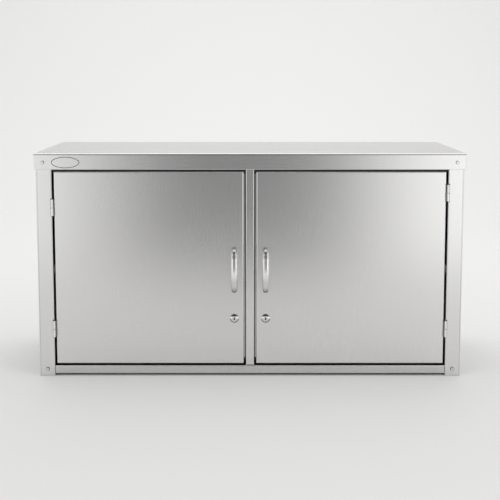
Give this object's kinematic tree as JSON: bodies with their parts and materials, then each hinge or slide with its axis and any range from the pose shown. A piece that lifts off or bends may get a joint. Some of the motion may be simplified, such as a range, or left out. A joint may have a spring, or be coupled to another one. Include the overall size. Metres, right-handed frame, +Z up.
{
  "type": "stainless steel cabinet",
  "caption": "Wide, low stainless steel cabinet with an overhanging lid, corner posts, two inset hinged doors with bow handles and cam locks, and a shelf inside.",
  "frame": {"origin": "on the floor, under the middle of the whole bounding box, handles and screw heads included", "axes": "+X to the right along the width as seen from the front, the doors face -Y, +Z up"},
  "size_m": [1.2, 0.4794, 0.6325],
  "materials": {
    "stainless_sheet": "fine brushed stainless sheet",
    "lid_sheet": "fine brushed stainless sheet, grain along the width",
    "inner_steel": "mill-finish stainless sheet inside the cabinet",
    "handle_metal": "satin plated casting",
    "lock_metal": "bright plated",
    "hinge_steel": "turned stainless",
    "fastener_steel": "plain stainless fasteners",
    "catch_plastic": "black moulded catch body",
    "buffer_rubber": "soft grey rubber"
  },
  "bodies": {
    "cabinet": {"back_panel": "inner_steel", "back_panel_rivets": "fastener_steel", "base_screw_nuts": "fastener_steel", "base_screws": "fastener_steel", "bottom_panel": "stainless_sheet", "center_mullion": "stainless_sheet", "left_lower_hinge_frame_leaf": "hinge_steel", "left_lower_hinge_pin": "hinge_steel", "left_side_panel": "stainless_sheet", "left_upper_hinge_frame_leaf": "hinge_steel", "left_upper_hinge_pin": "hinge_steel", "lid_screw_nuts": "fastener_steel", "lid_screws": "fastener_steel", "lower_wall_rail": "inner_steel", "magnetic_catches": "catch_plastic", "mullion_screws": "fastener_steel", "right_lower_hinge_frame_leaf": "hinge_steel", "right_lower_hinge_pin": "hinge_steel", "right_side_panel": "stainless_sheet", "right_upper_hinge_frame_leaf": "hinge_steel", "right_upper_hinge_pin": "hinge_steel", "shelf": "inner_steel", "shelf_clips": "inner_steel", "shelf_standards": "inner_steel", "shelf_stiffener": "inner_steel", "stop_buffers": "buffer_rubber", "top_front_rail": "inner_steel", "top_panel": "lid_sheet", "upper_wall_rail": "inner_steel"},
    "left_door": {"left_catch_plate": "inner_steel", "left_door_liner": "inner_steel", "left_door_skin": "stainless_sheet", "left_handle": "handle_metal", "left_handle_screws": "fastener_steel", "left_lock_housing": "lock_metal", "left_lock_nut": "fastener_steel", "left_lower_hinge_door_leaf": "hinge_steel", "left_upper_hinge_door_leaf": "hinge_steel"},
    "right_door": {"right_catch_plate": "inner_steel", "right_door_liner": "inner_steel", "right_door_skin": "stainless_sheet", "right_handle": "handle_metal", "right_handle_screws": "fastener_steel", "right_lock_housing": "lock_metal", "right_lock_nut": "fastener_steel", "right_lower_hinge_door_leaf": "hinge_steel", "right_upper_hinge_door_leaf": "hinge_steel"},
    "left_lock": {"left_cam_screw": "fastener_steel", "left_lock_cam": "lock_metal", "left_lock_plug": "lock_metal"},
    "right_lock": {"right_cam_screw": "fastener_steel", "right_lock_cam": "lock_metal", "right_lock_plug": "lock_metal"}
  },
  "joints": [
    {"name": "left_door_hinge", "type": "hinge", "parent": "cabinet", "child": "left_door", "pos_m": [-0.5506, -0.2142, 0.308], "axis": [0, 0, -1], "range_deg": [0, 175]},
    {"name": "right_door_hinge", "type": "hinge", "parent": "cabinet", "child": "right_door", "pos_m": [0.5506, -0.2142, 0.308], "axis": [0, 0, 1], "range_deg": [0, 175]},
    {"name": "left_lock_turn", "type": "hinge", "parent": "left_door", "child": "left_lock", "pos_m": [-0.044, -0.19, 0.166], "axis": [0, -1, 0], "range_deg": [0, 90]},
    {"name": "right_lock_turn", "type": "hinge", "parent": "right_door", "child": "right_lock", "pos_m": [0.044, -0.19, 0.166], "axis": [0, 1, 0], "range_deg": [0, 90]}
  ]
}
